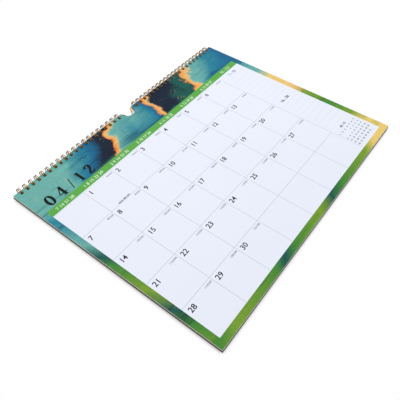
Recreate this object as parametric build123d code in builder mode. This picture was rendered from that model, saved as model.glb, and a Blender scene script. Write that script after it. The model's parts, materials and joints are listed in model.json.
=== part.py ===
from build123d import *
from math import asin, cos, degrees, hypot, pi, radians, sin
import os

# Wall calendar lying face up, bound along its top edge by two twin-loop wires.
# X runs to the right of the page, Y towards the wire and Z up from the table.

# Leaves, board and cover
leaf_width = 374.65
leaf_height = 292.1
leaf_thickness = 0.16
front_leaf_count = 9
turned_leaf_count = 3
cover_thickness = 0.3
board_thickness = 1.0
board_overhang = 0.8
sheet_clearance = 0.1

# Punched holes and thumb cut
hole_size = 4.0
hole_strip = 1.9
thumb_cut_width = 20.0
thumb_cut_depth = 12.5

# Twin-loop wire
inch = 25.4
loops_per_inch = 3
loop_pitch = inch / loops_per_inch
skipped_loops = 3
end_margin = 7.0
wire_diameter = 0.9
leg_spacing = 2.0
root_bend = 0.6
tip_width = 1.0
tip_depth = 0.8
wire_clearance = 0.12
loop_facets = 10
wire_sides = 5

# Hanger
hanger_diameter = 1.3
hanger_sides = 12
hanger_clearance = 0.2
hanger_arm = 76.0
hump_width = 17.0
hump_apex = 15.7
crest_radius = 2.8
shoulder_radius = 1.6
table_clearance = 0.05

# Stack levels, measured from the loops' axis, which lies in the gap that the wire's root needs
wire_radius = wire_diameter / 2
hanger_radius = hanger_diameter / 2
axis_gap = hanger_radius + hanger_clearance
seam_gap = wire_radius + wire_clearance
page_block_thickness = front_leaf_count * leaf_thickness
turned_thickness = turned_leaf_count * leaf_thickness
page_block_floor = seam_gap
board_floor = -seam_gap - board_thickness
cover_floor = board_floor - sheet_clearance - cover_thickness
turned_floor = cover_floor - turned_thickness

# Loop size, so that every hole clears the wire while its sheets swing round the axis
hole_reach = axis_gap + hole_strip
stack_reach = max(page_block_floor + page_block_thickness, -turned_floor)
ring_radius = hypot(hole_reach, stack_reach) + wire_radius + wire_clearance
facet_angle = 2 * pi / loop_facets
vertex_radius = ring_radius / cos(facet_angle / 2)

# Places in the part's frame, whose origin is under the middle of the whole calendar
ring_drop = vertex_radius + wire_radius
back_reach = axis_gap + ring_radius + wire_radius
bound_edge = (leaf_height + board_overhang - back_reach) / 2
axis_y = bound_edge + axis_gap
axis_z = ring_drop

# Loop places along the binding
first_loop = (skipped_loops + 1) / 2 * loop_pitch
loop_count = int((leaf_width / 2 - end_margin - first_loop) / loop_pitch) + 1
right_loops = [first_loop + step * loop_pitch for step in range(loop_count)]
left_loops = [-x for x in reversed(right_loops)]


def bound_sheet(width, length, floor, thickness):
    """A flat sheet with its punched holes and its half-moon thumb cut at the bound edge."""
    hole_y = bound_edge - hole_strip - hole_size / 2
    thumb_radius = thumb_cut_width / 2
    thumb_straight = thumb_cut_depth - thumb_radius
    with BuildPart() as sheet:
        with BuildSketch(Plane.XY.offset(axis_z + floor)):
            with Locations((0, bound_edge)):
                Rectangle(width, length, align=(Align.CENTER, Align.MAX))
                Rectangle(thumb_cut_width, 2 * thumb_straight, mode=Mode.SUBTRACT)
            with Locations((0, bound_edge - thumb_straight)):
                Circle(thumb_radius, mode=Mode.SUBTRACT)
            with Locations([(x, hole_y) for x in left_loops + right_loops]):
                Rectangle(hole_size, hole_size, mode=Mode.SUBTRACT)
        extrude(amount=thickness)
    return sheet


def ring_point(x, angle):
    """A corner of the faceted loop, at an angle from +Y towards +Z about the loops' axis."""
    return (x, axis_y + vertex_radius * cos(angle), axis_z + vertex_radius * sin(angle))


def seam_point(x, rise):
    """A point on the front wall of the loops, where each loop closes."""
    return (x, axis_y - ring_radius, axis_z + rise)


def loop_points(x):
    """One loop of the continuous wire: root, leg round the ring, tip, leg back, root."""
    leg = leg_spacing / 2
    angles = [pi + facet_angle * (corner + 1 / 2) for corner in range(loop_facets)]
    tip_rise = vertex_radius * sin(facet_angle / 2) - tip_depth
    first_leg = [ring_point(x - leg, angle) for angle in angles]
    second_leg = [ring_point(x + leg, angle) for angle in reversed(angles)]
    root_in = seam_point(x - leg - root_bend, 0)
    root_out = seam_point(x + leg + root_bend, 0)
    tip = [seam_point(x - tip_width / 2, tip_rise), seam_point(x + tip_width / 2, tip_rise)]
    return [root_in] + first_leg + tip + second_leg + [root_out]


def twin_loop_wire(places):
    """A comb of twin loops, swept as one wire that ends in the middle of a root at either side."""
    half_root = loop_pitch / 2
    route = [seam_point(places[0] - half_root, 0)]
    for x in places:
        route += loop_points(x)
    route.append(seam_point(places[-1] + half_root, 0))
    with BuildPart() as comb:
        with BuildLine() as path:
            Polyline(*route)
        with BuildSketch(path.line ^ 0):
            RegularPolygon(wire_radius, wire_sides)
        sweep(transition=Transition.RIGHT)
    return comb


# Open month and the months after it
page_block = bound_sheet(leaf_width, leaf_height, page_block_floor, page_block_thickness)

# Backing board, a little larger than the leaves on its three free edges
board_width = leaf_width + 2 * board_overhang
board_length = leaf_height + board_overhang
backing_board = bound_sheet(board_width, board_length, board_floor, board_thickness)

# Cover and earlier months, turned over to the back
front_cover = bound_sheet(leaf_width, leaf_height, cover_floor, cover_thickness)
turned_leaves = bound_sheet(leaf_width, leaf_height, turned_floor, turned_thickness)

# Binding wires on both sides of the thumb cut
wire_left = twin_loop_wire(left_loops)
wire_right = twin_loop_wire(right_loops)

# Hanger, folded behind the stack until its crest rests on the table
hump_half = hump_width / 2
leg_length = hypot(hump_half, hump_apex)
crest_reach = hump_apex - crest_radius * (leg_length / hump_half - 1)
fold_angle = asin((ring_drop - hanger_radius - table_clearance) / crest_reach)
hanger_plane = Plane(
    origin=(0, axis_y, axis_z),
    x_dir=(1, 0, 0),
    z_dir=(0, sin(fold_angle), -cos(fold_angle)),
)
with BuildPart() as hanger:
    with BuildLine(hanger_plane) as hanger_path:
        FilletPolyline(
            (-hanger_arm, 0),
            (-hump_half, 0),
            (0, hump_apex),
            (hump_half, 0),
            (hanger_arm, 0),
            radius=[shoulder_radius, crest_radius, shoulder_radius],
        )
    with BuildSketch(hanger_path.line ^ 0):
        RegularPolygon(hanger_radius, hanger_sides)
    sweep()

page_block.part.label = "page_block"
backing_board.part.label = "backing_board"
front_cover.part.label = "front_cover"
turned_leaves.part.label = "turned_leaves"
wire_left.part.label = "wire_left"
wire_right.part.label = "wire_right"
hanger.part.label = "hanger"

os.makedirs("parts", exist_ok=True)
export_step(page_block.part, "parts/page_block.step")
export_step(backing_board.part, "parts/backing_board.step")
export_step(front_cover.part, "parts/front_cover.step")
export_step(turned_leaves.part, "parts/turned_leaves.step")
export_step(wire_left.part, "parts/wire_left.step")
export_step(wire_right.part, "parts/wire_right.step")
export_step(hanger.part, "parts/hanger.step")

print("ring radius", round(ring_radius, 3), "axis", round(axis_y, 3), round(axis_z, 3))
print("fold angle", round(degrees(fold_angle), 2), "crest reach", round(crest_reach, 3))
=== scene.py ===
import json
import math

import bpy
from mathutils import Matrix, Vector


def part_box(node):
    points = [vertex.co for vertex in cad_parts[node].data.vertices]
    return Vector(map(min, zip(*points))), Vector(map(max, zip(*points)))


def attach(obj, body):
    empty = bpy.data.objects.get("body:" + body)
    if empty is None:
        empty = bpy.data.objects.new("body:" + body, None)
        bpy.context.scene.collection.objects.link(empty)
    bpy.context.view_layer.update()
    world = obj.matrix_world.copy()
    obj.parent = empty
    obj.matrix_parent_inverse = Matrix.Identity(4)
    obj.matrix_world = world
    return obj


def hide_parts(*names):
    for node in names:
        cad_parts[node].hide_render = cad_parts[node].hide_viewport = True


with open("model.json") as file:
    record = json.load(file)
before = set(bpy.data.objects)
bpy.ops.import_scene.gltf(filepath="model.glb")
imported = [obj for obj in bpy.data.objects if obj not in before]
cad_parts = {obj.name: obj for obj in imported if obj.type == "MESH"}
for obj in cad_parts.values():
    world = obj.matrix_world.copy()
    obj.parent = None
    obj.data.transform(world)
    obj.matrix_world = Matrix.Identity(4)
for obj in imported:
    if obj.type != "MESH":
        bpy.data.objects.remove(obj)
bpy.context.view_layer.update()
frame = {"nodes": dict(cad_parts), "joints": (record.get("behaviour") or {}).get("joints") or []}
print("calendar frame loaded:", ", ".join(sorted(frame["nodes"])))

mm = 0.001
scene = bpy.context.scene
scene.view_settings.view_transform = "Standard"

# The open page and the axis of the loops, as the frame has them, in mm
pageLow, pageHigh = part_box("page_block")
page = {
    "width": (pageHigh.x - pageLow.x) / mm,
    "height": (pageHigh.y - pageLow.y) / mm,
    "boundEdge": pageHigh.y / mm,
    "top": pageHigh.z / mm,
}
axisPlace = frame["joints"][0]["pos_m"]  # all the joints turn about one axis
loopAxis = {"y": axisPlace[1] / mm, "z": axisPlace[2] / mm}


def pagePlace(across, down, lift):
    # mm from the page's left edge, down from its bound edge and over its face, to metres in the frame
    return Vector((
        (across - page["width"] / 2) * mm,
        (page["boundEdge"] - down) * mm,
        (page["top"] + lift) * mm,
    ))


def ink(red, green, blue):
    # 0 to 255 as a screen shows it, to the linear colour a socket takes
    def linear(level):
        level = level / 255
        return level / 12.92 if level <= 0.04045 else ((level + 0.055) / 1.055) ** 2.4
    return (linear(red), linear(green), linear(blue), 1.0)


def addObject(name, data):
    thing = bpy.data.objects.new(name, data)
    scene.collection.objects.link(thing)
    return thing


# Node helpers, for shader and geometry trees alike
def feed(tree, socket, value):
    if isinstance(value, bpy.types.NodeSocket):
        tree.links.new(value, socket)
    else:
        socket.default_value = value


def addNode(tree, kind, inputs=None, **settings):
    node = tree.nodes.new(kind)
    for name, value in settings.items():
        setattr(node, name, value)
    for name, value in (inputs or {}).items():
        feed(tree, node.inputs[name], value)
    return node


def maths(tree, operation, *values):
    node = tree.nodes.new("ShaderNodeMath")
    node.operation = operation
    for index, value in enumerate(values):
        feed(tree, node.inputs[index], value)
    return node.outputs[0]


def smoothRise(tree, value, low, high):
    node = addNode(tree, "ShaderNodeMapRange", {"Value": value, "From Min": low, "From Max": high},
                   interpolation_type="SMOOTHSTEP")
    return node.outputs["Result"]


def blendInk(tree, mask, under, over, mode="MIX"):
    # Inputs 6 and 7 and output 2 are the node's colour sockets
    node = tree.nodes.new("ShaderNodeMix")
    node.data_type = "RGBA"
    node.blend_type = mode
    feed(tree, node.inputs[0], mask)
    feed(tree, node.inputs[6], under)
    feed(tree, node.inputs[7], over)
    return node.outputs[2]


def inkRamp(tree, place, stops, length):
    node = tree.nodes.new("ShaderNodeValToRGB")
    marks = node.color_ramp.elements
    while len(marks) < len(stops):
        marks.new(0.5)
    for mark, (position, colour) in zip(marks, stops):
        mark.position = position / length
        mark.color = ink(*inkPalette[colour])
    feed(tree, node.inputs[0], maths(tree, "DIVIDE", place, length))
    return node.outputs[0]


def newGroup(name, kind, sockets):
    tree = bpy.data.node_groups.new(name, kind)
    for direction, title, socketType in sockets:
        tree.interface.new_socket(name=title, in_out=direction, socket_type="NodeSocket" + socketType)
    source = tree.nodes.new("NodeGroupInput").outputs
    sink = tree.nodes.new("NodeGroupOutput").inputs
    return tree, source, sink


def placeGroup(tree, group, inputs):
    return addNode(tree, "ShaderNodeGroup", inputs, node_tree=group).outputs


# Effects that several finishes share
def makePrintedBox():
    tree, source, sink = newGroup("printedBox", "ShaderNodeTree", [
        ("INPUT", "Page", "Vector"), ("INPUT", "Left", "Float"), ("INPUT", "Right", "Float"),
        ("INPUT", "Top", "Float"), ("INPUT", "Bottom", "Float"), ("OUTPUT", "Mask", "Float"),
    ])
    axes = addNode(tree, "ShaderNodeSeparateXYZ", {"Vector": source["Page"]}).outputs
    sides = [
        maths(tree, "GREATER_THAN", axes["X"], source["Left"]),
        maths(tree, "LESS_THAN", axes["X"], source["Right"]),
        maths(tree, "GREATER_THAN", axes["Y"], source["Top"]),
        maths(tree, "LESS_THAN", axes["Y"], source["Bottom"]),
    ]
    across = maths(tree, "MULTIPLY", sides[0], sides[1])
    down = maths(tree, "MULTIPLY", sides[2], sides[3])
    tree.links.new(maths(tree, "MULTIPLY", across, down), sink["Mask"])
    return tree


def makeRuledLines():
    # Equal lines across one coordinate, the first at Start
    tree, source, sink = newGroup("ruledLines", "ShaderNodeTree", [
        ("INPUT", "Coordinate", "Float"), ("INPUT", "Start", "Float"), ("INPUT", "Pitch", "Float"),
        ("INPUT", "Width", "Float"), ("OUTPUT", "Mask", "Float"),
    ])
    run = maths(tree, "SUBTRACT", source["Coordinate"], source["Start"])
    half = maths(tree, "MULTIPLY", source["Pitch"], 0.5)
    step = maths(tree, "FLOORED_MODULO", maths(tree, "ADD", run, half), source["Pitch"])
    away = maths(tree, "ABSOLUTE", maths(tree, "SUBTRACT", step, half))
    line = maths(tree, "LESS_THAN", away, maths(tree, "MULTIPLY", source["Width"], 0.5))
    tree.links.new(line, sink["Mask"])
    return tree


paperGrain = {
    "cloudScale": 0.035,
    "smoothest": 0.38,
    "roughSpread": 0.16,
}


def makePaperFibre():
    # Cloudy tone and a fine tooth, for paper and board
    tree, source, sink = newGroup("paperFibre", "ShaderNodeTree", [
        ("INPUT", "Position", "Vector"), ("INPUT", "Colour", "Color"), ("INPUT", "Cloud", "Float"),
        ("INPUT", "Fleck", "Float"), ("INPUT", "Fleck Size", "Float"),
        ("OUTPUT", "Colour", "Color"), ("OUTPUT", "Height", "Float"), ("OUTPUT", "Roughness", "Float"),
    ])
    cloud = addNode(tree, "ShaderNodeTexNoise", {
        "Vector": source["Position"], "Scale": paperGrain["cloudScale"], "Detail": 3.0,
        "Roughness": 0.55}).outputs["Fac"]
    size = maths(tree, "DIVIDE", 1.0, source["Fleck Size"])
    fleck = addNode(tree, "ShaderNodeTexNoise", {
        "Vector": source["Position"], "Scale": size, "Detail": 4.0, "Roughness": 0.65}).outputs["Fac"]
    cloudTone = maths(tree, "MULTIPLY", maths(tree, "SUBTRACT", cloud, 0.5), source["Cloud"])
    fleckTone = maths(tree, "MULTIPLY", maths(tree, "SUBTRACT", fleck, 0.5), source["Fleck"])
    tone = maths(tree, "ADD", maths(tree, "ADD", cloudTone, fleckTone), 1.0)
    tinted = addNode(tree, "ShaderNodeVectorMath", {0: source["Colour"], "Scale": tone}, operation="SCALE")
    tree.links.new(tinted.outputs[0], sink["Colour"])
    tree.links.new(fleck, sink["Height"])
    rough = maths(tree, "MULTIPLY_ADD", cloud, paperGrain["roughSpread"], paperGrain["smoothest"])
    tree.links.new(rough, sink["Roughness"])
    return tree


# Inks of the flowing design, and the order in which they run along each side of the sheet, in mm
inkPalette = {
    "sea": (106, 172, 164),
    "teal": (36, 126, 148),
    "blue": (16, 98, 140),
    "navy": (10, 28, 50),
    "pine": (18, 82, 76),
    "amber": (238, 146, 62),
    "sand": (232, 186, 118),
    "leaf": (66, 132, 52),
    "moss": (118, 156, 46),
    "gold": (232, 200, 112),
}
inkRuns = {
    "header": [
        (0, "sea"), (58, "sea"), (84, "teal"), (104, "blue"), (128, "navy"), (148, "navy"),
        (152, "amber"), (158, "sand"), (164, "sea"), (200, "teal"), (220, "blue"), (224, "amber"),
        (233, "sand"), (238, "navy"), (262, "navy"), (276, "pine"), (288, "pine"), (291, "amber"),
        (297, "sand"), (301, "sea"), (336, "teal"), (374, "blue"),
    ],
    "left": [(0, "sea"), (58, "teal"), (104, "sea"), (134, "pine"), (150, "leaf"), (196, "moss"),
             (224, "pine"), (252, "leaf"), (292, "moss")],
    "right": [(0, "blue"), (40, "teal"), (84, "sea"), (112, "gold"), (150, "sand"), (168, "moss"),
              (206, "leaf"), (238, "moss"), (262, "gold"), (292, "moss")],
    "bottom": [(0, "leaf"), (30, "moss"), (104, "leaf"), (122, "pine"), (140, "leaf"), (200, "moss"),
               (232, "pine"), (250, "leaf"), (310, "moss"), (332, "gold"), (374, "gold")],
}
# Noises are scale, detail and distortion, and borders are where they start and end, in mm
inkFlow = {
    "swell": (0.013, 2.0, 0.5),
    "ripple": (0.055, 4.0, 1.2),
    "rippleShare": 0.22,
    "headerSlant": 0.55,
    "headerPush": 0.3,
    "sidePush": 0.35,
    "leftSlant": -1.3,
    "bottomSlant": 0.9,
    "bottomStart": 258.0,
    "leftToRight": (120.0, 250.0),
    "toBottom": (276.0, 284.0),
    "fromHeader": (44.0, 64.0),
    "washAngle": -34,
    "washScale": (0.012, 0.07, 0.07),
    "wash": (1.0, 5.0, 1.4),
    "washes": [((0.52, 0.74), 0.6, (196, 222, 206)), ((0.46, 0.32), 0.55, (20, 40, 60))],
    "grain": (0.35, 6.0, 0.0),
    "grainDepth": 0.36,
    "speckScale": 0.42,
    "speckSize": 0.24,
    "speckReach": (60.0, 40.0),
    "speckEdge": (-0.02, 0.08),
    "gather": (0.05, 2.0, 0.0),
    "gatherLimits": (0.52, 0.7),
}


def makeFlowingInk():
    # Fields of ink that run into each other, with gold along the borders of some
    tree, source, sink = newGroup("flowingInk", "ShaderNodeTree", [
        ("INPUT", "Page", "Vector"), ("INPUT", "Drift", "Vector"), ("INPUT", "Warp", "Float"),
        ("INPUT", "Gold", "Float"), ("OUTPUT", "Colour", "Color"),
    ])
    moved = addNode(tree, "ShaderNodeVectorMath", {0: source["Page"], 1: source["Drift"]},
                    operation="ADD").outputs[0]
    axes = addNode(tree, "ShaderNodeSeparateXYZ", {"Vector": source["Page"]}).outputs

    def noise(scale, detail, distortion, vector=moved):
        node = addNode(tree, "ShaderNodeTexNoise", {
            "Vector": vector, "Scale": scale, "Detail": detail, "Roughness": 0.55,
            "Distortion": distortion})
        return node.outputs["Fac"]

    flow = inkFlow
    swell = maths(tree, "SUBTRACT", noise(*flow["swell"]), 0.5)
    ripple = maths(tree, "SUBTRACT", noise(*flow["ripple"]), 0.5)
    stir = maths(tree, "ADD", swell, maths(tree, "MULTIPLY", ripple, flow["rippleShare"]))
    push = maths(tree, "MULTIPLY", stir, source["Warp"])
    slant = maths(tree, "MULTIPLY_ADD", axes["Y"], flow["headerSlant"], axes["X"])
    header = inkRamp(tree, maths(tree, "ADD", slant, push), inkRuns["header"], page["width"])
    down = maths(tree, "MULTIPLY_ADD", push, flow["sidePush"], axes["Y"])
    leftRun = maths(tree, "MULTIPLY_ADD", axes["X"], flow["leftSlant"], down)
    left = inkRamp(tree, leftRun, inkRuns["left"], page["height"])
    right = inkRamp(tree, down, inkRuns["right"], page["height"])
    lean = maths(tree, "MULTIPLY_ADD", axes["Y"], flow["bottomSlant"], axes["X"])
    bottomRun = maths(tree, "MULTIPLY_ADD", push, flow["sidePush"], lean)
    bottomRun = maths(tree, "SUBTRACT", bottomRun, flow["bottomStart"])
    bottom = inkRamp(tree, bottomRun, inkRuns["bottom"], page["width"])
    body = blendInk(tree, smoothRise(tree, axes["X"], *flow["leftToRight"]), left, right)
    body = blendInk(tree, smoothRise(tree, axes["Y"], *flow["toBottom"]), body, bottom)
    border = maths(tree, "MULTIPLY_ADD", push, flow["headerPush"], axes["Y"])
    whole = blendInk(tree, smoothRise(tree, border, *flow["fromHeader"]), header, body)

    # Washes along the flow, and a mottled grain
    slid = addNode(tree, "ShaderNodeMapping", {
        "Vector": moved, "Rotation": (0.0, 0.0, math.radians(flow["washAngle"])),
        "Scale": flow["washScale"]}).outputs[0]
    wash = noise(*flow["wash"], slid)
    for limits, share, colour in flow["washes"]:
        mask = maths(tree, "MULTIPLY", smoothRise(tree, wash, *limits), share)
        whole = blendInk(tree, mask, whole, ink(*colour), "SOFT_LIGHT")
    depth = flow["grainDepth"]
    grain = maths(tree, "MULTIPLY_ADD", noise(*flow["grain"]), depth, 1.0 - depth / 2)
    grained = addNode(tree, "ShaderNodeVectorMath", {0: whole, "Scale": grain}, operation="SCALE")

    # Gold specks that gather here and there near the bound edge
    cells = addNode(tree, "ShaderNodeTexVoronoi", {
        "Vector": moved, "Scale": flow["speckScale"], "Randomness": 1.0})
    gathered = smoothRise(tree, noise(*flow["gather"]), *flow["gatherLimits"])
    size = maths(tree, "MULTIPLY", gathered, flow["speckSize"])
    size = maths(tree, "MULTIPLY", size, smoothRise(tree, axes["Y"], *flow["speckReach"]))
    fall = maths(tree, "SUBTRACT", size, cells.outputs["Distance"])
    specks = maths(tree, "MULTIPLY", smoothRise(tree, fall, *flow["speckEdge"]), source["Gold"])
    tree.links.new(blendInk(tree, specks, grained.outputs[0], ink(*inkPalette["sand"])), sink["Colour"])
    return tree


# How the wear input and noise patches brighten the coat; on the loops this brightening is also a painted
# highlight
coatWearAndHighlight = {
    "patchDetail": 4.0,
    "wearAndHighlightShare": 0.5,
    "rubAndHighlightFrom": (0.6, 0.95),
    "smoothest": 0.2,
    "roughSpread": 0.3,
}


def makeWornCoat():
    # Tone and roughness of lacquered wire that has been handled, brightest where the wear input is 1. On
    # the loops that input also carries a painted highlight
    tree, source, sink = newGroup("wornCoatAndHighlight", "ShaderNodeTree", [
        ("INPUT", "Position", "Vector"), ("INPUT", "Colour", "Color"), ("INPUT", "Rubbed And Highlight", "Color"),
        ("INPUT", "Patch Size", "Float"), ("INPUT", "Wear And Highlight", "Float"), ("OUTPUT", "Colour", "Color"),
        ("OUTPUT", "Roughness", "Float"), ("OUTPUT", "Height", "Float"),
    ])
    size = maths(tree, "DIVIDE", 1.0, source["Patch Size"])
    patch = addNode(tree, "ShaderNodeTexNoise", {
        "Vector": source["Position"], "Scale": size, "Detail": coatWearAndHighlight["patchDetail"],
        "Roughness": 0.6}).outputs["Fac"]
    wearAndHighlightLevel = maths(tree, "MULTIPLY_ADD", source["Wear And Highlight"], coatWearAndHighlight["wearAndHighlightShare"], patch)
    rubAndHighlight = smoothRise(tree, wearAndHighlightLevel, *coatWearAndHighlight["rubAndHighlightFrom"])
    tree.links.new(blendInk(tree, rubAndHighlight, source["Colour"], source["Rubbed And Highlight"]), sink["Colour"])
    rough = maths(tree, "MULTIPLY_ADD", patch, coatWearAndHighlight["roughSpread"], coatWearAndHighlight["smoothest"])
    tree.links.new(rough, sink["Roughness"])
    tree.links.new(patch, sink["Height"])
    return tree


printedBox = makePrintedBox()
ruledLines = makeRuledLines()
paperFibre = makePaperFibre()
flowingInk = makeFlowingInk()
wornCoatAndHighlight = makeWornCoat()
print("shared effects made")


# Materials
def newMaterial(name):
    material = bpy.data.materials.new(name)
    material.use_nodes = True
    tree = material.node_tree
    shader = tree.nodes["Principled BSDF"]
    place = addNode(tree, "ShaderNodeTexCoord").outputs["Object"]
    return material, tree, shader, place


def millimetres(tree, place):
    # Object coordinates as mm, from the shared frame's origin
    node = addNode(tree, "ShaderNodeVectorMath", {0: place, "Scale": 1000.0}, operation="SCALE")
    return node.outputs[0]


def pageRuler(tree, place):
    # Object coordinates as mm from the page's left edge and down from its bound edge
    node = addNode(tree, "ShaderNodeVectorMath", {
        0: place, 1: (1000.0, -1000.0, 1000.0), 2: (page["width"] / 2, page["boundEdge"], 0.0)},
        operation="MULTIPLY_ADD")
    return node.outputs[0]


def addBump(tree, shader, height, strength, depth):
    # depth is in mm
    bump = addNode(tree, "ShaderNodeBump", {
        "Strength": strength, "Distance": depth * mm, "Height": height})
    tree.links.new(bump.outputs["Normal"], shader.inputs["Normal"])


def coatPaper(tree, shader, look, position, colour):
    # The fibre's colour goes to the shader, and its roughness too unless the look has its own
    fibre = placeGroup(tree, paperFibre, {
        "Position": position, "Colour": colour, "Cloud": look["cloud"], "Fleck": look["fleck"],
        "Fleck Size": look["fleckSize"]})
    tree.links.new(fibre["Colour"], shader.inputs["Base Color"])
    if "roughness" in look:
        shader.inputs["Roughness"].default_value = look["roughness"]
    else:
        tree.links.new(fibre["Roughness"], shader.inputs["Roughness"])
    if "sheen" in look:
        shader.inputs["Specular IOR Level"].default_value = look["sheen"]
    if "bump" in look:
        addBump(tree, shader, fibre["Height"], *look["bump"])


# Paper, board and ink of one colour. Each bump is given as strength and depth in mm
plainLooks = {
    "leafPaper": {
        "colour": (236, 237, 238), "cloud": 0.05, "fleck": 0.06, "fleckSize": 0.7, "bump": (0.12, 0.03)},
    # Cut edges: creamier than the faces, and darker as painted shade on the stack's sides
    "leafEdge": {
        "colour": (172, 172, 160), "cloud": 0.1, "fleck": 0.3, "fleckSize": 0.9, "roughness": 0.8,
        "bump": (0.3, 0.05)},
    # The board's own brown, darkened further as painted shade for its edge on the stack's sides
    "chipboard": {
        "colour": (106, 94, 80), "cloud": 0.14, "fleck": 0.7, "fleckSize": 1.1, "roughness": 0.85,
        "bump": (0.4, 0.08)},
}
# The colour of each printed ink, and how unevenly it takes on the paper
inkLooks = {
    "blackInk": ((10, 14, 16), 0.3),
    "dateInk": ((40, 42, 50), 0.2),
    "paleInk": ((146, 148, 158), 0.2),
    "whiteInk": ((214, 238, 208), 0.04),
}
for inkName, (inkColour, spread) in inkLooks.items():
    plainLooks[inkName] = {
        "colour": inkColour, "cloud": spread, "fleck": spread, "fleckSize": 0.5, "sheen": 0.1}


def makePlainLook(name):
    material, tree, shader, place = newMaterial(name)
    look = plainLooks[name]
    coatPaper(tree, shader, look, millimetres(tree, place), ink(*look["colour"]))
    return material


# The month's grid, in mm on the page
monthGrid = {
    "left": 8.0,
    "right": 365.5,
    "barTop": 48.0,
    "barBottom": 58.0,
    "bottom": 283.5,
    "columnPitch": 44.25,
    "rowStart": 59.25,
    "rowPitch": 44.85,
    "columns": 7,
    "room": 1.0,  # keeps the lines off the panel's own edges
    "lineWidth": 0.48,
    "panel": (231, 235, 248),
    "line": (184, 187, 197),
    "bar": (91, 168, 71),
}
# The notes column's two fields as left, right, top and bottom, and their dotted lines
notesColumn = {
    "fields": [(322.0, 361.0, 71.0, 150.0), (322.0, 361.0, 163.0, 236.0)],
    "firstLine": 74.0,
    "linePitch": 9.0,
    "lineWidth": 0.35,
    "firstDot": 322.0,
    "dotPitch": 1.3,
    "dotLength": 0.7,
    "line": (196, 198, 208),
}
openPageLook = {
    "drift": (31.0, 72.0, 5.0),
    "warp": 120.0,
    "gold": 1.0,
    "cloud": 0.03,
    "fleck": 0.03,
    "fleckSize": 0.8,
    "sheen": 0.1,
    "bump": (0.06, 0.03),
}


def placeArt(tree, look, ruler):
    return placeGroup(tree, flowingInk, {
        "Page": ruler, "Drift": look["drift"], "Warp": look["warp"], "Gold": look["gold"]})["Colour"]


def makeOpenPagePrint():
    grid = monthGrid
    material, tree, shader, place = newMaterial("openPagePrint")
    ruler = pageRuler(tree, place)
    axes = addNode(tree, "ShaderNodeSeparateXYZ", {"Vector": ruler}).outputs

    def box(left, right, top, bottom):
        return placeGroup(tree, printedBox, {
            "Page": ruler, "Left": left, "Right": right, "Top": top, "Bottom": bottom})["Mask"]

    def lines(axis, start, pitch, width):
        return placeGroup(tree, ruledLines, {
            "Coordinate": axes[axis], "Start": start, "Pitch": pitch, "Width": width})["Mask"]

    colour = blendInk(tree, box(grid["left"], grid["right"], grid["barTop"], grid["bottom"]),
                      placeArt(tree, openPageLook, ruler), ink(*grid["panel"]))
    lastLine = grid["left"] + grid["columnPitch"] * grid["columns"]
    gridBox = box(grid["left"] + grid["room"], lastLine + grid["room"],
                  grid["rowStart"], grid["bottom"] - grid["room"])
    crossed = maths(tree, "MAXIMUM", lines("X", grid["left"], grid["columnPitch"], grid["lineWidth"]),
                    lines("Y", grid["rowStart"], grid["rowPitch"], grid["lineWidth"]))
    colour = blendInk(tree, maths(tree, "MULTIPLY", crossed, gridBox), colour, ink(*grid["line"]))

    notes = notesColumn
    fields = 0.0
    for field in notes["fields"]:
        fields = maths(tree, "MAXIMUM", fields, box(*field))
    rules = lines("Y", notes["firstLine"], notes["linePitch"], notes["lineWidth"])
    steps = lines("X", notes["firstDot"], notes["dotPitch"], notes["dotLength"])
    dots = maths(tree, "MULTIPLY", rules, steps)
    colour = blendInk(tree, maths(tree, "MULTIPLY", fields, dots), colour, ink(*notes["line"]))
    colour = blendInk(tree, box(grid["left"], grid["right"], grid["barTop"], grid["barBottom"]),
                      colour, ink(*grid["bar"]))
    coatPaper(tree, shader, openPageLook, ruler, colour)
    return material


coverLook = {
    "drift": (410.0, -120.0, 60.0),
    "warp": 190.0,
    "gold": 1.0,
    "upperFace": 3.2,  # faces above this level, in mm, are printed
    "plate": (92.0, 282.0, 108.0, 186.0),  # left, right, top and bottom
    "plateInk": (24, 60, 78),
    "frameInk": (226, 182, 108),
    "frameWidth": 1.2,
    "cloud": 0.05,
    "fleck": 0.05,
    "fleckSize": 0.9,
    "sheen": 0.2,
    "bump": (0.08, 0.04),
}


def makeCoverPrint():
    # Ink design with a plain dark plate in a thin frame, on the face that fronts the calendar when shut
    material, tree, shader, place = newMaterial("coverPrint")
    ruler = pageRuler(tree, place)
    look = coverLook
    left, right, top, bottom = look["plate"]

    def plate(grow):
        return placeGroup(tree, printedBox, {
            "Page": ruler, "Left": left - grow, "Right": right + grow,
            "Top": top - grow, "Bottom": bottom + grow})["Mask"]

    art = placeArt(tree, look, ruler)
    colour = blendInk(tree, plate(look["frameWidth"]), art, ink(*look["frameInk"]))
    colour = blendInk(tree, plate(0.0), colour, ink(*look["plateInk"]))
    level = addNode(tree, "ShaderNodeSeparateXYZ", {"Vector": ruler}).outputs["Z"]
    printed = maths(tree, "GREATER_THAN", level, look["upperFace"])
    colour = blendInk(tree, printed, ink(*plainLooks["leafPaper"]["colour"]), colour)
    coatPaper(tree, shader, look, ruler, colour)
    return material


# Lacquer of both wires, bright on the loops' outer side between the two distances below, in mm from their
# axis: wear from rubbing plus a painted highlight, with the dark coat left inside as painted shade
wireFinish = {
    "coat": (46, 34, 4),
    "rubbedAndHighlight": (202, 148, 22),
    "edgeTint": (118, 86, 14),
    "metallic": 1.0,
    "bump": (0.15, 0.03),
    "wearAndHighlightStart": 4.25,
    "wearAndHighlightFull": 4.68,
    "loopPatch": 1.2,
    "hangerWear": 0.9,
    "hangerPatch": 7.0,
}


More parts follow.
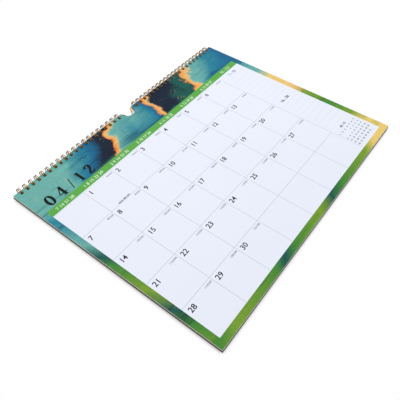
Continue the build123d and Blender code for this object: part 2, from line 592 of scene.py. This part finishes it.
# Painted highlight plus wear from rubbing on the loops' outer side: 0 inside, 1 outside, by distance from
# the loops' axis
def loopWear(tree, place):
    axes = addNode(tree, "ShaderNodeSeparateXYZ", {"Vector": millimetres(tree, place)}).outputs
    across = maths(tree, "SUBTRACT", axes["Y"], loopAxis["y"])
    above = maths(tree, "SUBTRACT", axes["Z"], loopAxis["z"])
    squares = maths(tree, "ADD", maths(tree, "MULTIPLY", across, across),
                    maths(tree, "MULTIPLY", above, above))
    away = maths(tree, "SQRT", squares)
    return smoothRise(tree, away, wireFinish["wearAndHighlightStart"], wireFinish["wearAndHighlightFull"])


def makeWireCoat(name, patchSize, wear=None):
    # Dark lacquer, turned bright all over by the given wear, or else on the outside of the loops, where
    # the brightness is wear from rubbing plus a painted highlight
    material, tree, shader, place = newMaterial(name)
    coat = placeGroup(tree, wornCoatAndHighlight, {
        "Position": millimetres(tree, place), "Colour": ink(*wireFinish["coat"]),
        "Rubbed And Highlight": ink(*wireFinish["rubbedAndHighlight"]), "Patch Size": patchSize,
        "Wear And Highlight": wear or loopWear(tree, place)})
    tree.links.new(coat["Colour"], shader.inputs["Base Color"])
    tree.links.new(coat["Roughness"], shader.inputs["Roughness"])
    shader.inputs["Metallic"].default_value = wireFinish["metallic"]
    shader.inputs["Specular Tint"].default_value = ink(*wireFinish["edgeTint"])
    addBump(tree, shader, coat["Height"], *wireFinish["bump"])
    return material


leafPaper = makePlainLook("leafPaper")
leafEdge = makePlainLook("leafEdge")  # creamier and darker than the faces: the darkness is painted shade for the stack's shadowed sides, with the fine shade of single sheets
chipboard = makePlainLook("chipboard")
openPagePrint = makeOpenPagePrint()
coverPrint = makeCoverPrint()
bindingCoat = makeWireCoat("bindingCoat", wireFinish["loopPatch"])
hangerCoat = makeWireCoat("hangerCoat", wireFinish["hangerPatch"], wireFinish["hangerWear"])
blackInk = makePlainLook("blackInk")
dateInk = makePlainLook("dateInk")
paleInk = makePlainLook("paleInk")
whiteInk = makePlainLook("whiteInk")
print("materials made")


# Geometry Nodes
def setTreeInputs(modifier, values):
    known = {item.name: item.identifier for item in modifier.node_group.interface.items_tree
             if item.item_type == "SOCKET" and item.in_out == "INPUT"}
    for name, value in values.items():
        modifier[known[name]] = value


def bakeNodes(name, source, tree, values):
    # Runs the tree on the source shape and keeps the result as a plain mesh
    carrier = addObject(name + "Source", source)
    modifier = carrier.modifiers.new("nodes", "NODES")
    modifier.node_group = tree
    setTreeInputs(modifier, values)
    graph = bpy.context.evaluated_depsgraph_get()
    mesh = bpy.data.meshes.new_from_object(carrier.evaluated_get(graph), depsgraph=graph)
    mesh.name = name
    carrier.modifiers.remove(modifier)
    bpy.data.objects.remove(carrier)
    print(name, "made,", len(mesh.polygons), "faces")
    return addObject(name, mesh)


def joined(tree, *parts):
    node = tree.nodes.new("GeometryNodeJoinGeometry")
    for part in parts:
        tree.links.new(part, node.inputs[0])
    return node.outputs[0]


def instanced(tree, inputs):
    copies = addNode(tree, "GeometryNodeInstanceOnPoints", inputs).outputs[0]
    return addNode(tree, "GeometryNodeRealizeInstances", {"Geometry": copies}).outputs[0]


def makePunchedStackTree():
    # Punches a leaf's outline, gives it its thickness and stacks it, trimmed a little unevenly
    tree, source, sink = newGroup("punchedStack", "GeometryNodeTree", [
        ("INPUT", "Outline", "Geometry"), ("INPUT", "Leaves", "Int"),
        ("INPUT", "Leaf Thickness", "Float"), ("INPUT", "Leaf Pitch", "Float"),
        ("INPUT", "Bound Edge", "Float"), ("INPUT", "Lowest Face", "Float"),
        ("INPUT", "Hole Size", "Float"), ("INPUT", "Hole Row", "Float"),
        ("INPUT", "First Hole", "Float"), ("INPUT", "Hole Pitch", "Float"), ("INPUT", "Holes", "Int"),
        ("INPUT", "Trim Spread", "Float"), ("INPUT", "Seed", "Int"),
        ("INPUT", "Paper", "Material"), ("OUTPUT", "Stack", "Geometry"),
    ])

    def vector(x=0.0, y=0.0, z=0.0):
        return addNode(tree, "ShaderNodeCombineXYZ", {"X": x, "Y": y, "Z": z}).outputs[0]

    def negative(value):
        return maths(tree, "MULTIPLY", value, -1.0)

    def holeRow(first, pitch):
        return addNode(tree, "GeometryNodeMeshLine", {
            "Count": source["Holes"], "Start Location": vector(first, source["Hole Row"]),
            "Offset": vector(pitch)}).outputs["Mesh"]

    first, pitch = source["First Hole"], source["Hole Pitch"]
    rows = joined(tree, holeRow(first, pitch), holeRow(negative(first), negative(pitch)))
    hole = addNode(tree, "GeometryNodeCurvePrimitiveQuadrilateral", {
        "Width": source["Hole Size"], "Height": source["Hole Size"]}).outputs[0]
    punched = instanced(tree, {"Points": rows, "Instance": hole})
    outline = joined(tree, source["Outline"], punched)
    face = addNode(tree, "GeometryNodeFillCurve", {"Curve": outline}).outputs[0]
    raised = addNode(tree, "GeometryNodeExtrudeMesh", {
        "Mesh": face, "Offset": vector(z=source["Leaf Thickness"]), "Offset Scale": 1.0,
        "Individual": False}, mode="FACES").outputs["Mesh"]
    under = addNode(tree, "GeometryNodeFlipFaces", {"Mesh": face}).outputs[0]
    leaf = addNode(tree, "GeometryNodeMergeByDistance", {
        "Geometry": joined(tree, raised, under), "Distance": 0.000002}).outputs[0]

    # Every leaf but the top one is a hair wider or narrower, so that the block's edge shows its sheets
    lowest = vector(y=source["Bound Edge"], z=source["Lowest Face"])
    levels = addNode(tree, "GeometryNodeMeshLine", {
        "Count": source["Leaves"], "Start Location": lowest,
        "Offset": vector(z=source["Leaf Pitch"])}).outputs["Mesh"]

    def trimmed(operation):
        side = maths(tree, operation, 1.0, source["Trim Spread"])
        return vector(side, side, 1.0)

    spread = addNode(tree, "FunctionNodeRandomValue", {
        0: trimmed("SUBTRACT"), 1: trimmed("ADD"), "Seed": source["Seed"]},
        data_type="FLOAT_VECTOR").outputs[0]
    index = tree.nodes.new("GeometryNodeInputIndex").outputs[0]
    last = maths(tree, "GREATER_THAN", maths(tree, "ADD", index, 1.5), source["Leaves"])
    scale = addNode(tree, "GeometryNodeSwitch", {
        "Switch": last, "False": spread, "True": (1.0, 1.0, 1.0)}, input_type="VECTOR").outputs[0]
    stack = instanced(tree, {"Points": levels, "Instance": leaf, "Scale": scale})
    stack = addNode(tree, "GeometryNodeSetMaterial", {
        "Geometry": stack, "Material": source["Paper"]}).outputs[0]
    tree.links.new(stack, sink["Stack"])
    return tree


def makeWireRunTree():
    # Repeats one bend of wire along X and gives it a round section with domed ends
    tree, source, sink = newGroup("wireRun", "GeometryNodeTree", [
        ("INPUT", "Bend", "Geometry"), ("INPUT", "Bends", "Int"), ("INPUT", "First Bend", "Vector"),
        ("INPUT", "Pitch", "Float"), ("INPUT", "Wire Radius", "Float"), ("INPUT", "Sides", "Int"),
        ("INPUT", "First End", "Vector"), ("INPUT", "Last End", "Vector"),
        ("INPUT", "Coat", "Material"), ("OUTPUT", "Wire", "Geometry"),
    ])
    offset = addNode(tree, "ShaderNodeCombineXYZ", {"X": source["Pitch"]}).outputs[0]
    places = addNode(tree, "GeometryNodeMeshLine", {
        "Count": source["Bends"], "Start Location": source["First Bend"],
        "Offset": offset}).outputs["Mesh"]
    run = instanced(tree, {"Points": places, "Instance": source["Bend"]})
    section = addNode(tree, "GeometryNodeCurvePrimitiveCircle", {
        "Resolution": source["Sides"], "Radius": source["Wire Radius"]}).outputs[0]
    tube = addNode(tree, "GeometryNodeCurveToMesh", {"Curve": run, "Profile Curve": section}).outputs[0]
    tube = addNode(tree, "GeometryNodeMergeByDistance", {
        "Geometry": tube, "Distance": 0.00001}).outputs[0]
    dome = addNode(tree, "GeometryNodeMeshIcoSphere", {
        "Radius": source["Wire Radius"], "Subdivisions": 2}).outputs["Mesh"]
    ends = [addNode(tree, "GeometryNodeTransform", {
        "Geometry": dome, "Translation": source[end]}).outputs[0] for end in ("First End", "Last End")]
    smooth = addNode(tree, "GeometryNodeSetShadeSmooth", {
        "Geometry": joined(tree, tube, *ends)}).outputs[0]
    smooth = addNode(tree, "GeometryNodeRealizeInstances", {"Geometry": smooth}).outputs[0]
    smooth = addNode(tree, "GeometryNodeSetMaterial", {
        "Geometry": smooth, "Material": source["Coat"]}).outputs[0]
    tree.links.new(smooth, sink["Wire"])
    return tree


punchedStack = makePunchedStackTree()
wireRun = makeWireRunTree()

# Leaves: outline in mm from the middle of the bound edge
leafShape = {
    "cutWidth": 20.0,
    "cutDepth": 12.5,
    "cutSteps": 20,
    "leafThickness": 0.15,
    "leafPitch": 0.16,
    "holeSize": 4.0,
    "holeRow": -3.9,
    "firstHole": 16.9333,
    "holePitch": 8.46667,
    "holes": 20,
    "trimSpread": 0.0009,
    "faceTolerance": 0.01,
}
# Leaves in each stack, mm that the lowest one lies over the solid's floor, and the seed of its trim
leafStacks = {
    "openLeaves": {"leaves": 9, "seat": 0.01, "seed": 4},
    "backLeaves": {"leaves": 3, "seat": 0.0, "seed": 11},
}


def leafOutline():
    half = page["width"] / 2
    radius = leafShape["cutWidth"] / 2
    straight = leafShape["cutDepth"] - radius
    free = -page["height"]
    corners = [(-half, 0.0), (-half, free), (half, free), (half, 0.0), (radius, 0.0)]
    for step in range(leafShape["cutSteps"] + 1):
        angle = math.pi * step / leafShape["cutSteps"]
        corners.append((radius * math.cos(angle), -straight - radius * math.sin(angle)))
    corners.append((-radius, 0.0))
    curve = bpy.data.curves.new("leafOutline", "CURVE")
    curve.dimensions = "2D"
    curve.fill_mode = "NONE"
    spline = curve.splines.new("POLY")
    spline.points.add(len(corners) - 1)
    for point, (x, y) in zip(spline.points, corners):
        point.co = (x * mm, y * mm, 0.0, 1.0)
    spline.use_cyclic_u = True
    return curve


def makeLeafStack(name, node):
    shape, stack = leafShape, leafStacks[name]
    return bakeNodes(name, leafOutline(), punchedStack, {
        "Leaves": stack["leaves"], "Leaf Thickness": shape["leafThickness"] * mm,
        "Leaf Pitch": shape["leafPitch"] * mm, "Bound Edge": page["boundEdge"] * mm,
        "Lowest Face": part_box(node)[0].z + stack["seat"] * mm, "Hole Size": shape["holeSize"] * mm,
        "Hole Row": shape["holeRow"] * mm, "First Hole": shape["firstHole"] * mm,
        "Hole Pitch": shape["holePitch"] * mm, "Holes": shape["holes"],
        "Trim Spread": shape["trimSpread"], "Seed": stack["seed"], "Paper": leafPaper})


def finishLeaves(piece, topPrint=None):
    # Cut edges get the edge finish, and the uppermost face the print
    mesh = piece.data
    mesh.materials.clear()
    for finish in (leafPaper, leafEdge, topPrint or leafPaper):
        mesh.materials.append(finish)
    topLevel = max(vertex.co.z for vertex in mesh.vertices) - leafShape["faceTolerance"] * mm
    for face in mesh.polygons:
        if abs(face.normal.z) < 0.5:
            face.material_index = 1
        elif face.normal.z > 0 and face.center.z > topLevel:
            face.material_index = 2
        else:
            face.material_index = 0


openLeaves = makeLeafStack("openLeaves", "page_block")
finishLeaves(openLeaves, openPagePrint)
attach(openLeaves, "open_pages")
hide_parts("page_block")

backLeaves = makeLeafStack("backLeaves", "turned_leaves")
finishLeaves(backLeaves)
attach(backLeaves, "turned_pages")
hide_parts("turned_leaves")


def smoothCurve(name, points, resolution):
    curve = bpy.data.curves.new(name, "CURVE")
    curve.dimensions = "3D"
    curve.resolution_u = resolution
    spline = curve.splines.new("BEZIER")
    spline.bezier_points.add(len(points) - 1)
    for knot, (x, y, z) in zip(spline.bezier_points, points):
        knot.co = (x * mm, y * mm, z * mm)
        knot.handle_left_type = knot.handle_right_type = "AUTO"
    return curve


def bothSides(side, middle):
    # One side's points, the point in the middle, and the same points back on the other side
    return side + [middle] + [(-x, y, z) for x, y, z in reversed(side)]


# Binding wire: one twin loop, in mm about the loops' axis. Its turns, in degrees, run from the front of
# the ring down, round the back and over the top
loopShape = {
    "ringRadius": 4.253,
    "wireDiameter": 0.9,
    "legSpacing": 2.0,
    "firstTurn": 12.0,
    "lastTurn": 334.0,
    "legSteps": 14,
    "root": [(1.2, 0.0), (0.3, -0.1)],  # beyond the leg, and up
    "tip": [(0.8, 0.16, 1.1), (0.42, 0.05, 0.68)],  # from the middle, in from the front, and up
    "tipRise": 0.58,
    "smoothness": 3,
    "sides": 9,
}


def twinLoop():
    shape = loopShape
    leg = shape["legSpacing"] / 2
    front = -shape["ringRadius"]
    side = [(-leafShape["holePitch"] / 2, front, 0.0)]
    side += [(-leg - out, front, up) for out, up in shape["root"]]
    sweep = shape["lastTurn"] - shape["firstTurn"]
    for step in range(shape["legSteps"] + 1):
        turn = math.radians(shape["firstTurn"] + step * sweep / shape["legSteps"])
        side.append((-leg, front * math.cos(turn), front * math.sin(turn)))
    side += [(-across, front + inward, up) for across, inward, up in shape["tip"]]
    return smoothCurve("twinLoop", bothSides(side, (0.0, front, shape["tipRise"])), shape["smoothness"])


def makeBindingWire(name, firstLoop, node):
    shape = loopShape
    pitch = leafShape["holePitch"]
    count = leafShape["holes"]
    root = [(loopAxis["y"] - shape["ringRadius"]) * mm, loopAxis["z"] * mm]
    piece = bakeNodes(name, twinLoop(), wireRun, {
        "Bends": count, "First Bend": [firstLoop * mm, loopAxis["y"] * mm, loopAxis["z"] * mm],
        "Pitch": pitch * mm, "Wire Radius": shape["wireDiameter"] / 2 * mm, "Sides": shape["sides"],
        "First End": [(firstLoop - pitch / 2) * mm] + root,
        "Last End": [(firstLoop + (count - 0.5) * pitch) * mm] + root,
        "Coat": bindingCoat})
    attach(piece, "binding")
    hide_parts(node)


lastHole = leafShape["firstHole"] + (leafShape["holes"] - 1) * leafShape["holePitch"]
makeBindingWire("bindingWireRight", leafShape["firstHole"], "wire_right")
makeBindingWire("bindingWireLeft", -lastHole, "wire_left")

# Hanger: a rod along the loops' axis with a hump, folded behind the stack
hangerShape = {
    "diameter": 1.3,
    "arm": 76.0,
    "rod": [60.0, 36.0, 18.0, 11.4],  # knots on the axis, from the middle
    "hump": [(9.4, 0.18), (8.1, 1.1), (5.2, 6.1), (2.9, 10.35), (1.5, 12.1)],  # from the middle, and out
    "crest": 12.619,
    "foldAngle": 19.55,
    "smoothness": 8,
    "sides": 16,
}


def makeHanger():
    shape = hangerShape
    fold = math.radians(shape["foldAngle"])

    def folded(x, reach):
        return (x, -reach * math.cos(fold), -reach * math.sin(fold))

    side = [folded(-x, 0.0) for x in [shape["arm"]] + shape["rod"]]
    side += [folded(-x, reach) for x, reach in shape["hump"]]
    line = smoothCurve("hangerLine", bothSides(side, folded(0.0, shape["crest"])), shape["smoothness"])
    axis = [loopAxis["y"] * mm, loopAxis["z"] * mm]
    piece = bakeNodes("foldedHanger", line, wireRun, {
        "Bends": 1, "First Bend": [0.0] + axis, "Pitch": 0.0, "Wire Radius": shape["diameter"] / 2 * mm,
        "Sides": shape["sides"], "First End": [-shape["arm"] * mm] + axis,
        "Last End": [shape["arm"] * mm] + axis, "Coat": hangerCoat})
    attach(piece, "hanger_wire")
    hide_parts("hanger")


makeHanger()

# Board and cover keep their solids
for nodeName, finish in (("backing_board", chipboard), ("front_cover", coverPrint)):
    solid = frame["nodes"][nodeName]
    solid.data.materials.clear()
    solid.data.materials.append(finish)
    for face in solid.data.polygons:
        face.material_index = 0


# Numbers printed on the open page
numberStyle = {
    "lift": 0.03,
    "depth": 0.02,
    "smoothness": 3,
    "firstColumn": 1,
    "daysInMonth": 30,
    "dayOfYear": 92,
    "daysInYear": 366,
}
# Places in mm from a cell's corner, and on the page for headDown and notesHeadAcross
cellNumbers = {
    "dateAcross": 3.4,
    "dateDown": 10.0,
    "dateSize": 9.0,
    "dateBold": 0.13,
    "countFromRight": 1.6,
    "countDown": 5.0,
    "countSize": 3.3,
    "countBold": 0.08,
    "headAcross": 22.1,
    "headDown": 55.4,
    "headSize": 6.0,
    "headBold": 0.08,
    "notesHeadAcross": 341.6,
}
nextMonth = {
    "title": ("05 / 12", 340.0, 245.0, 4.4, "CENTER", 0.16),
    "firstColumn": 3,
    "days": 31,
    "left": 321.0,
    "columnPitch": 6.35,
    "headDown": 250.9,
    "firstRow": 256.2,
    "rowPitch": 5.3,
    "size": 3.3,
    "headBold": 0.1,
    "dayBold": 0.05,
}
sectionHeads = [
    ("1 - 15", 342.6, 67.4, 6.4, "CENTER", 0.1),
    ("16 - 30", 338.8, 158.6, 6.4, "CENTER", 0.14),
    ("04-01-092-274", 74.5, 103.3, 3.0, "CENTER", 0.1),
]


def makeNumbers(name, entries, finish):
    # Each entry: text, mm across, mm down, size, alignment and boldness
    flats = []
    for body, across, down, size, align, bold in entries:
        curve = bpy.data.curves.new(name + "Line", "FONT")
        curve.body = body
        curve.size = size * mm
        curve.align_x = align
        curve.offset = bold * mm
        curve.resolution_u = numberStyle["smoothness"]
        curve.extrude = numberStyle["depth"] / 2 * mm
        flat = addObject(name + "Line", curve)
        flats.append((flat, pagePlace(across, down, numberStyle["lift"])))
    graph = bpy.context.evaluated_depsgraph_get()
    vertices, faces = [], []
    for flat, place in flats:
        mesh = bpy.data.meshes.new_from_object(flat.evaluated_get(graph), depsgraph=graph)
        first = len(vertices)
        vertices += [tuple(vertex.co + place) for vertex in mesh.vertices]
        faces += [[first + index for index in face.vertices] for face in mesh.polygons]
        bpy.data.meshes.remove(mesh)
        bpy.data.objects.remove(flat)
    placePrint(name, vertices, faces, finish)


def placePrint(name, vertices, faces, finish):
    mesh = bpy.data.meshes.new(name)
    mesh.from_pydata(vertices, [], faces)
    mesh.materials.append(finish)
    piece = addObject(name, mesh)
    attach(piece, "open_pages")
    print(name, "made,", len(faces), "faces")


def weekPlace(day, firstColumn):
    # The week and the column that a day of the month falls in
    return divmod(day - 1 + firstColumn, monthGrid["columns"])


def makeCellNumbers():
    style, cell, grid = numberStyle, cellNumbers, monthGrid
    dates, dayCounts = [], []
    for day in range(1, style["daysInMonth"] + 1):
        week, column = weekPlace(day, style["firstColumn"])
        left = grid["left"] + grid["columnPitch"] * column
        top = grid["rowStart"] + grid["rowPitch"] * week
        dates.append((str(day), left + cell["dateAcross"], top + cell["dateDown"],
                      cell["dateSize"], "LEFT", cell["dateBold"]))
        dayNumber = style["dayOfYear"] + day - 1
        count = f"{dayNumber}/{style['daysInYear'] - dayNumber}"
        dayCounts.append((count, left + grid["columnPitch"] - cell["countFromRight"],
                          top + cell["countDown"], cell["countSize"], "RIGHT", cell["countBold"]))
    makeNumbers("dateNumbers", dates, dateInk)
    makeNumbers("dayCounts", dayCounts, paleInk)


def makeNextMonth():
    table = nextMonth
    entries = [table["title"]]
    for column in range(monthGrid["columns"]):
        entries.append((str(column + 1), table["left"] + table["columnPitch"] * column,
                        table["headDown"], table["size"], "CENTER", table["headBold"]))
    for day in range(1, table["days"] + 1):
        week, column = weekPlace(day, table["firstColumn"])
        entries.append((str(day), table["left"] + table["columnPitch"] * column,
                        table["firstRow"] + table["rowPitch"] * week,
                        table["size"], "CENTER", table["dayBold"]))
    makeNumbers("nextMonthNumbers", entries, dateInk)


def makeColumnHeads():
    # Each column's head lists its dates, and the notes column's the month's days of the year
    style, cell, grid = numberStyle, cellNumbers, monthGrid
    heads = []
    for column in range(grid["columns"]):
        own = [str(day) for day in range(1, style["daysInMonth"] + 1)
               if weekPlace(day, style["firstColumn"])[1] == column]
        heads.append((" ".join(own), grid["left"] + cell["headAcross"] + grid["columnPitch"] * column))
    firstDay = style["dayOfYear"]
    heads.append((f"{firstDay} - {firstDay + style['daysInMonth'] - 1}", cell["notesHeadAcross"]))
    makeNumbers("columnHeads", [
        (text, across, cell["headDown"], cell["headSize"], "CENTER", cell["headBold"])
        for text, across in heads], whiteInk)


makeCellNumbers()
makeNextMonth()
makeColumnHeads()
makeNumbers("sectionHeads", sectionHeads, dateInk)

# Month number over the grid, drawn as broad strokes with thin hairlines
titleStyle = {
    "text": "04/12",
    "left": 16.75,
    "baseline": 45.5,
    "height": 15.75,
    "gap": 7.0,
    "thick": 0.22,
    "thin": 0.085,
    "taper": 1.6,
    "lift": 0.05,
    "levelStep": 0.0004,
}


def ellipsePath(centre, across, up, steps):
    return [(centre[0] + across * math.cos(2 * math.pi * step / steps),
             centre[1] + up * math.sin(2 * math.pi * step / steps)) for step in range(steps + 1)]


# Each glyph: its width, its brush paths and its flat shapes, in parts of the height
titleGlyphs = {
    "0": (0.60, [ellipsePath((0.30, 0.49), 0.235, 0.465, 40)], []),
    "4": (0.66, [[(0.44, 0.0), (0.44, 1.0)]],
          [[(0.40, 1.0), (0.46, 0.93), (0.085, 0.31), (0.0, 0.31)],
           [(0.0, 0.31), (0.0, 0.24), (0.66, 0.24), (0.66, 0.31)],
           [(0.28, 0.0), (0.60, 0.0), (0.60, 0.045), (0.28, 0.045)]]),
    "/": (0.36, [], [[(0.0, -0.04), (0.07, -0.04), (0.36, 1.04), (0.29, 1.04)]]),
    "1": (0.46, [[(0.25, 0.0), (0.25, 1.0)]],
          [[(0.03, 0.0), (0.47, 0.0), (0.47, 0.045), (0.03, 0.045)],
           [(0.20, 1.0), (0.03, 0.90), (0.03, 0.86), (0.20, 0.90)]]),
    "2": (0.58, [[(0.11, 0.74), (0.13, 0.85), (0.22, 0.94), (0.32, 0.965), (0.42, 0.93), (0.475, 0.83),
                  (0.475, 0.70), (0.42, 0.55), (0.32, 0.40), (0.20, 0.24), (0.09, 0.08)]],
          [[(0.04, 0.0), (0.54, 0.0), (0.50, 0.13), (0.09, 0.13)],
           [(0.54, 0.0), (0.58, 0.26), (0.54, 0.26), (0.47, 0.13)]]),
}


def brushStrip(path):
    # Wide where the stroke runs up or down, thin where it runs across
    thick, thin, taper = titleStyle["thick"], titleStyle["thin"], titleStyle["taper"]
    left, right = [], []
    for index, (x, y) in enumerate(path):
        before, after = path[max(index - 1, 0)], path[min(index + 1, len(path) - 1)]
        if path[0] == path[-1] and index in (0, len(path) - 1):
            before, after = path[-2], path[1]
        dx, dy = after[0] - before[0], after[1] - before[1]
        length = math.hypot(dx, dy)
        width = (thin + (thick - thin) * abs(dy / length) ** taper) / 2
        left.append((x - dy / length * width, y + dx / length * width))
        right.append((x + dy / length * width, y - dx / length * width))
    return [[right[i], right[i + 1], left[i + 1], left[i]] for i in range(len(path) - 1)]


def facingUp(outline):
    # The same points in the order that turns the face's normal up
    following = outline[1:] + outline[:1]
    spun = sum(x0 * y1 - x1 * y0 for (x0, y0), (x1, y1) in zip(outline, following))
    return outline if spun > 0 else outline[::-1]


def makeTitle():
    style = titleStyle
    vertices, faces = [], []
    across = style["left"]
    for character in style["text"]:
        width, paths, shapes = titleGlyphs[character]
        outlines = [quad for path in paths for quad in brushStrip(path)] + shapes
        for level, outline in enumerate(outlines):
            faces.append(list(range(len(vertices), len(vertices) + len(outline))))
            lift = style["lift"] + style["levelStep"] * level
            for x, y in facingUp(outline):
                down = style["baseline"] - y * style["height"]
                vertices.append(tuple(pagePlace(across + x * style["height"], down, lift)))
        across += width * style["height"] + style["gap"]
    placePrint("monthNumber", vertices, faces, blackInk)


makeTitle()
print("print on the open page made")

# Floor, light and camera
studio = {
    "floorSize": 12.0,
    "floorInk": (252, 252, 252),
    "shadowShare": 0.05,
    "contactReach": 0.0046,
    "contactRise": (0.15, 0.95),
    "contactShade": 0.04,
    "worldStrength": 0.79,
    "lampSize": 0.34,
    "lamps": {"lampAbove": ((0.4, 0.5, 1.18), 5.1), "lampLeft": ((-1.1, 0.1, 0.9), 0.5)},
}


def makeFloor():
    half = studio["floorSize"] / 2
    mesh = bpy.data.meshes.new("studioFloor")
    corners = [(-half, -half, 0), (half, -half, 0), (half, half, 0), (-half, half, 0)]
    mesh.from_pydata(corners, [], [(0, 1, 2, 3)])
    floor = addObject("studioFloor", mesh)
    material, tree, shader, place = newMaterial("paleFloor")
    shader.inputs["Base Color"].default_value = ink(*studio["floorInk"])
    shader.inputs["Roughness"].default_value = 1.0
    shader.inputs["Specular IOR Level"].default_value = 0.0
    # Painted contact shadow: ambient occlusion darkens the floor's white close to the object
    near = addNode(tree, "ShaderNodeAmbientOcclusion", {
        "Distance": studio["contactReach"]}).outputs["AO"]
    shade = studio["contactShade"]
    lit = smoothRise(tree, near, *studio["contactRise"])
    paintedContactShadow = maths(tree, "MULTIPLY_ADD", lit, 1.0 - shade, shade)
    white = addNode(tree, "ShaderNodeEmission", {"Color": (1.0, 1.0, 1.0, 1.0), "Strength": paintedContactShadow})
    rays = tree.nodes.new("ShaderNodeLightPath").outputs
    seen = maths(tree, "MAXIMUM", rays["Is Camera Ray"],
                 maths(tree, "MAXIMUM", rays["Is Glossy Ray"], rays["Is Transmission Ray"]))
    share = maths(tree, "MULTIPLY", seen, 1.0 - studio["shadowShare"])
    mix = addNode(tree, "ShaderNodeMixShader", {0: share, 1: shader.outputs[0], 2: white.outputs[0]})
    tree.links.new(mix.outputs[0], tree.nodes["Material Output"].inputs["Surface"])
    mesh.materials.append(material)


def makeLight():
    world = bpy.data.worlds.new("studioWorld")
    world.use_nodes = True
    tree = world.node_tree
    back = tree.nodes["Background"]
    back.inputs["Color"].default_value = (1.0, 1.0, 1.0, 1.0)
    rays = tree.nodes.new("ShaderNodeLightPath").outputs
    seen = maths(tree, "MAXIMUM", rays["Is Camera Ray"], rays["Is Transmission Ray"])
    strength = maths(tree, "MULTIPLY_ADD", seen, 1.0 - studio["worldStrength"], studio["worldStrength"])
    tree.links.new(strength, back.inputs["Strength"])
    scene.world = world
    for name, (place, power) in studio["lamps"].items():
        lamp = bpy.data.lights.new(name, "AREA")
        lamp.shape = "SQUARE"
        lamp.size = studio["lampSize"]
        lamp.energy = power
        holder = addObject(name, lamp)
        holder.location = place
        holder.rotation_mode = "QUATERNION"
        holder.rotation_quaternion = (-Vector(place)).to_track_quat("-Z", "Y")


view = {
    "place": (-0.320985, -0.219842, 0.413164),
    "turn": (38.43406, -0.50370, -52.82239),
    "lens": 41.132,
    "sensor": 36.0,
    "clip": (0.01, 40.0),
}


def makeCamera():
    camera = bpy.data.cameras.new("viewpoint")
    camera.lens = view["lens"]
    camera.sensor_width = view["sensor"]
    camera.clip_start, camera.clip_end = view["clip"]
    holder = addObject("viewpoint", camera)
    holder.location = view["place"]
    holder.rotation_euler = [math.radians(turn) for turn in view["turn"]]
    scene.camera = holder


makeFloor()
makeLight()
makeCamera()
print("studio made")
